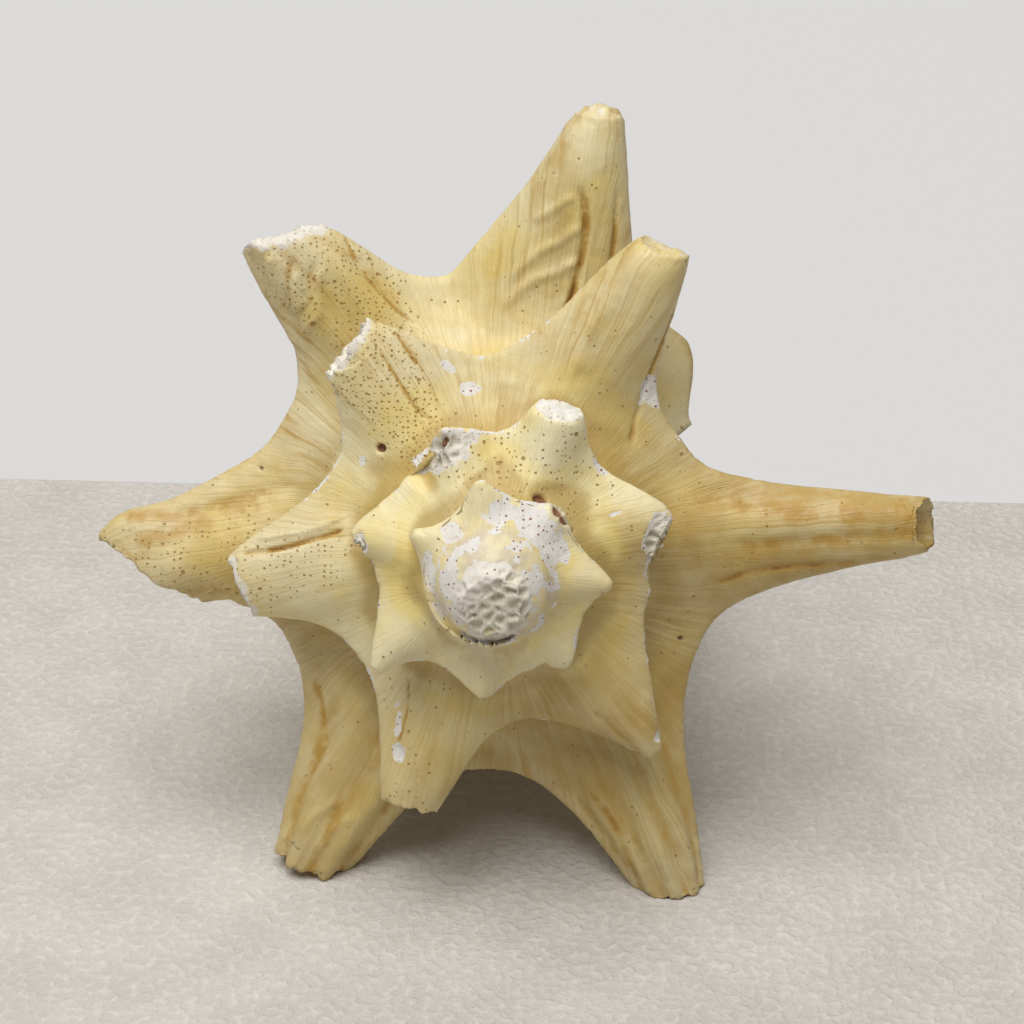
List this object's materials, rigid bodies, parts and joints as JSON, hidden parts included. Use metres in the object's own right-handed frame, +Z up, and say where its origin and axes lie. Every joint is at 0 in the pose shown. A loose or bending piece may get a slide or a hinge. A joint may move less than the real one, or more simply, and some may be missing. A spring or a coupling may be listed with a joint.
{
  "type": "queen conch shell",
  "caption": "Weathered queen conch shell: a coiled spire of whorls with long worn spines, a tapering body whorl and a long slit mouth, lying on its spines and front tip.",
  "frame": {"origin": "centre of the bounding box, at its base, on the surface the shell lies on", "axes": "+Z up from the surface; +Y runs back from the apex to the front tip, along the shell's length; +X to the right seen from the apex"},
  "size_m": [0.1649, 0.209, 0.1432],
  "materials": {
    "shell_lime": "weathered chalky lime, cream yellow with ochre streaks and small pores"
  },
  "bodies": {
    "root": {"shell": "shell_lime"}
  },
  "joints": []
}
